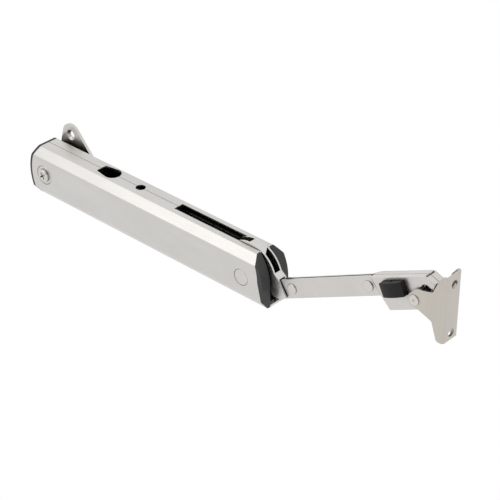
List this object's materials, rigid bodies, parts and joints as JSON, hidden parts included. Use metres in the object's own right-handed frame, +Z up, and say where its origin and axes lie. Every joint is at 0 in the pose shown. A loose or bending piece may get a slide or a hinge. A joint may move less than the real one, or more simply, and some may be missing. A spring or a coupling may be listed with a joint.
{
  "type": "lid stay",
  "caption": "Spring lid stay: folded metal tube with a slotted top, a lever and hinged arm with a press button, and a U bracket for the lid.",
  "frame": {"origin": "the lever's pivot axis, in the middle of the tube's width", "axes": "+X along the tube towards the arm and lid bracket, +Y towards the cabinet side behind the mounting plate, +Z up through the lever's slot"},
  "size_m": [0.3404, 0.027, 0.0794],
  "materials": {
    "tube_steel": "satin nickel plate",
    "plate_steel": "satin nickel plate",
    "lever_steel": "bright nickel plate",
    "arm_steel": "satin nickel plate",
    "bracket_steel": "satin nickel plate",
    "rivet_steel": "nickel plate",
    "inner_steel": "plain oiled steel",
    "spring_steel": "oiled spring steel",
    "cap_plastic": "dark grey moulded, fine grain",
    "button_plastic": "black moulded",
    "bush_plastic": "natural acetal"
  },
  "bodies": {
    "tube": {"body_tube": "tube_steel", "mounting_plate": "plate_steel", "fixing_sleeve": "rivet_steel", "fixing_screw": "rivet_steel", "rear_end_cap": "cap_plastic", "front_cap_near": "cap_plastic", "front_cap_far": "cap_plastic", "pivot_pin": "rivet_steel", "pivot_bush_near": "bush_plastic", "pivot_bush_far": "bush_plastic", "spring_anchor": "inner_steel", "adjusting_screw": "inner_steel", "adjusting_nut": "inner_steel", "spring_seat": "inner_steel", "guide_rod_lower": "inner_steel", "guide_rod_upper": "inner_steel", "main_spring_lower": "spring_steel", "main_spring_upper": "spring_steel"},
    "lever": {"lever": "lever_steel", "drive_pin": "rivet_steel", "arm_pivot_pin": "rivet_steel"},
    "arm": {"arm_shell_near": "arm_steel", "arm_shell_far": "arm_steel", "arm_rivet_front": "rivet_steel", "arm_rivet_rear": "rivet_steel", "arm_spacer_front": "inner_steel", "arm_spacer_rear": "inner_steel", "hook_stud": "rivet_steel", "button_spring": "spring_steel"},
    "button": {"release_button": "button_plastic"},
    "bracket": {"lid_bracket": "bracket_steel", "lid_pin": "rivet_steel", "lid_washer_near": "bush_plastic", "lid_washer_far": "bush_plastic"},
    "slider": {"spring_slider": "inner_steel"}
  },
  "joints": [
    {"name": "lever_swing", "type": "hinge", "parent": "tube", "child": "lever", "pos_m": [0, 0, 0], "axis": [0, -1, 0], "range_deg": [0, 95], "stiffness_Nm_per_rad": 0.4, "springref_deg": -28.65},
    {"name": "arm_fold", "type": "hinge", "parent": "lever", "child": "arm", "pos_m": [0.0208, 0, -0.00425], "axis": [0, -1, 0], "range_deg": [-80, 0]},
    {"name": "bracket_turn", "type": "hinge", "parent": "arm", "child": "bracket", "pos_m": [0.12644, 0, 0.03949], "axis": [0, -1, 0], "range_deg": [-60, 20]},
    {"name": "button_press", "type": "slide", "parent": "arm", "child": "button", "axis": [0, 1, 0], "range_m": [0, 0.0025], "stiffness_N_per_m": 500, "springref_m": -0.002, "deforming": ["button_spring"]},
    {"name": "spring_slide", "type": "slide", "parent": "tube", "child": "slider", "axis": [1, 0, 0], "range_m": [-0.0158, 0], "deforming": ["main_spring_lower", "main_spring_upper"]}
  ],
  "couplings": [
    {"joint": "spring_slide", "follows": "lever_swing", "m_per_rad": -0.0093379}
  ]
}
